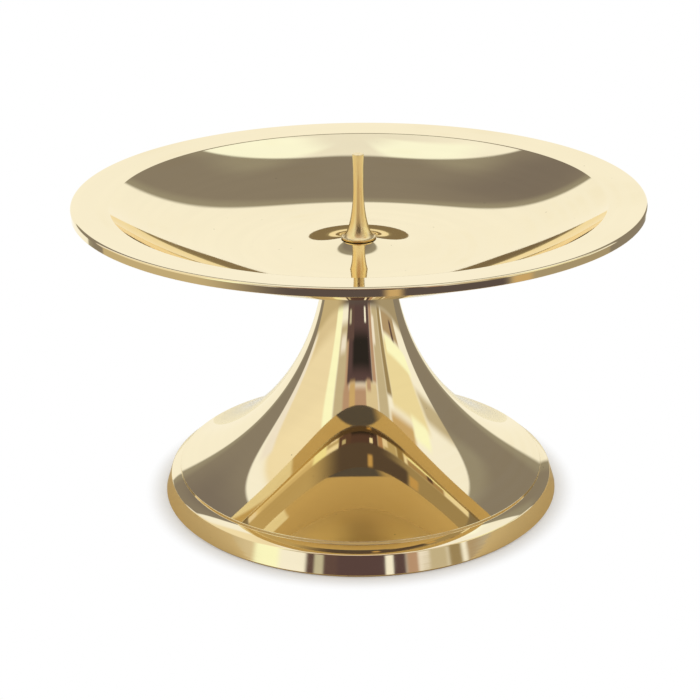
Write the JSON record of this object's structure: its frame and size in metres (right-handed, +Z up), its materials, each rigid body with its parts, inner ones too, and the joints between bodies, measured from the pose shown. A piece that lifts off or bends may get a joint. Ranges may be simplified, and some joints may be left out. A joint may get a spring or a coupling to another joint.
{
  "type": "pricket candle stand",
  "caption": "Low pricket candle stand in polished brass: a wide shallow dish with a blunt central pin, on a hollow trumpet foot held together by a nut inside the neck.",
  "frame": {"origin": "centre of the ring that the foot stands on, at table level", "axes": "+Z up along the axis of the stand and its pricket, -Y towards the viewer of the picture, +X to the viewer's right"},
  "size_m": [0.15, 0.15, 0.0949],
  "materials": {
    "polished_brass": "turned and mirror polished, pale gold, fine turning lines on the edges",
    "turned_brass": "as turned, satin, darkened with age",
    "plated_steel": "zinc plated, satin"
  },
  "bodies": {
    "root": {"foot": "polished_brass", "dish": "polished_brass", "pricket": "turned_brass", "plain_washer": "plated_steel", "spring_washer": "plated_steel", "hex_nut": "plated_steel"}
  },
  "joints": []
}
